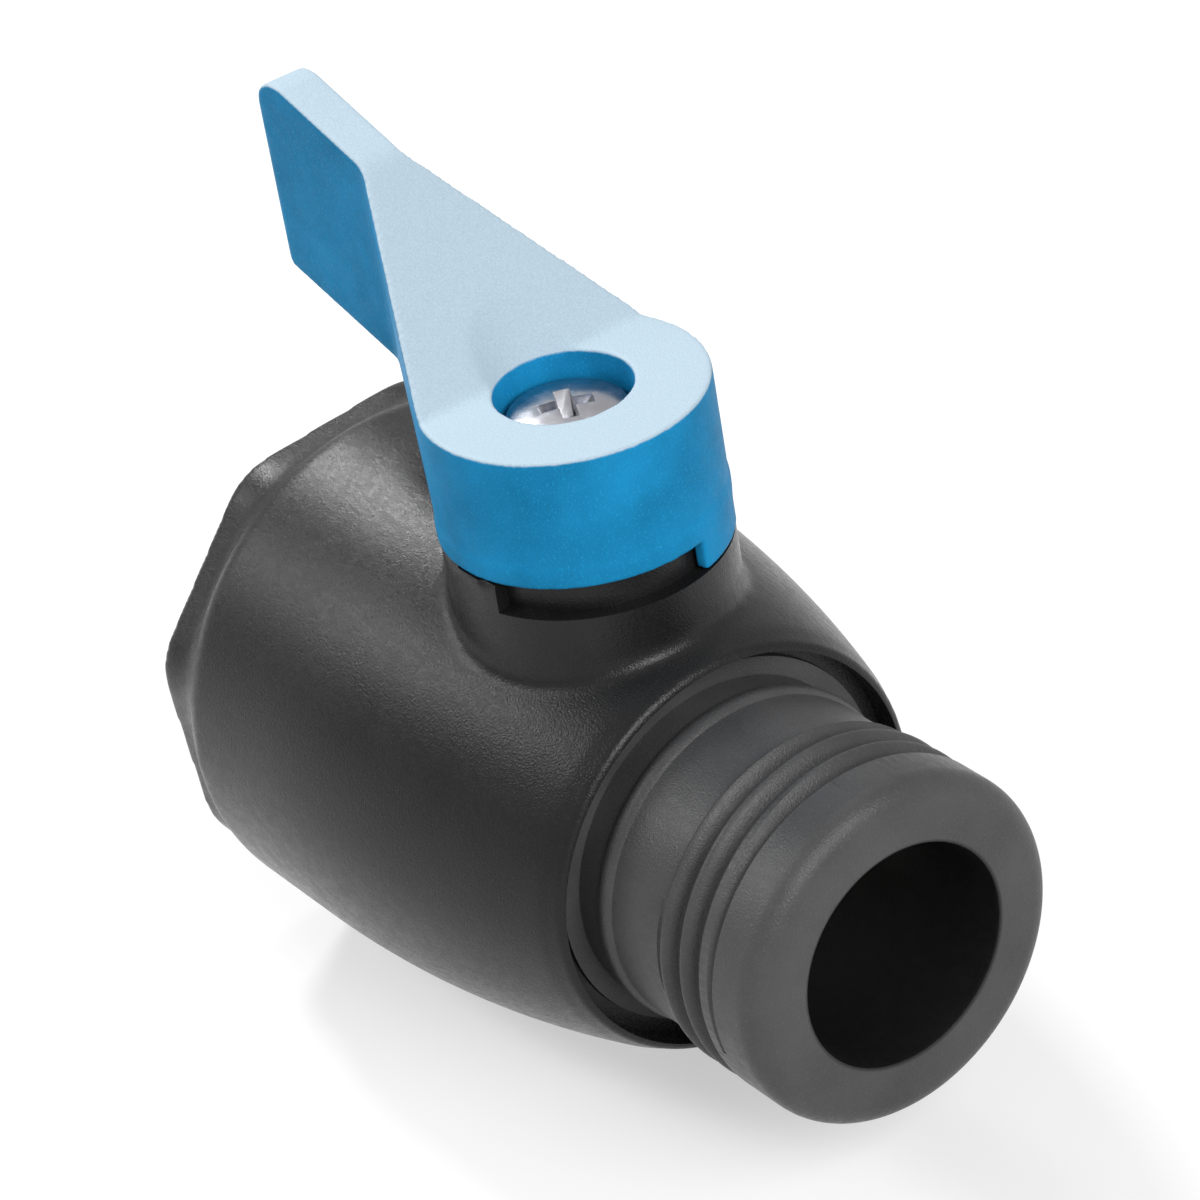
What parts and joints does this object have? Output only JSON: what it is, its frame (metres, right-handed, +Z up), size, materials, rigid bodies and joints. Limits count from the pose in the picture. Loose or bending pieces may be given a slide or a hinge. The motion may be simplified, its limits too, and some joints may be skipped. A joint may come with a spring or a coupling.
{
  "type": "garden hose shut-off valve",
  "caption": "Plastic quarter-turn ball valve for a garden hose: female hose thread in, male hose thread out, lever on top.",
  "frame": {"origin": "centre of the inlet's end face, on the flow axis", "axes": "+X along the flow, from the inlet to the outlet; +Z up the stem, to the lever; the lever at rest points to -X, along the open flow path"},
  "size_m": [0.0658, 0.0418, 0.0698],
  "materials": {
    "black_plastic": "fine grain, satin",
    "tail_plastic": "fine grain, satin",
    "blue_plastic": "fine grain, satin",
    "white_acetal": "polished",
    "seat_plastic": "smooth",
    "stem_plastic": "smooth",
    "black_rubber": "matte",
    "washer_rubber": "matte",
    "plated_steel": "zinc plated"
  },
  "bodies": {
    "housing": {"valve_body": "black_plastic", "outlet_tail": "tail_plastic", "inlet_seat": "seat_plastic", "outlet_seat": "seat_plastic", "inlet_seat_cushion": "black_rubber", "outlet_seat_cushion": "black_rubber", "tail_seal_ring": "black_rubber", "hose_washer": "washer_rubber"},
    "turning_group": {"lever": "blue_plastic", "lever_screw": "plated_steel", "stem": "stem_plastic", "stem_thrust_washer": "seat_plastic", "stem_lower_ring": "black_rubber", "stem_upper_ring": "black_rubber", "ball": "white_acetal"}
  },
  "joints": [
    {"name": "lever_turn", "type": "hinge", "parent": "housing", "child": "turning_group", "pos_m": [0.033, 0, 0.0237], "axis": [0, 0, 1], "range_deg": [-90, 0]}
  ]
}
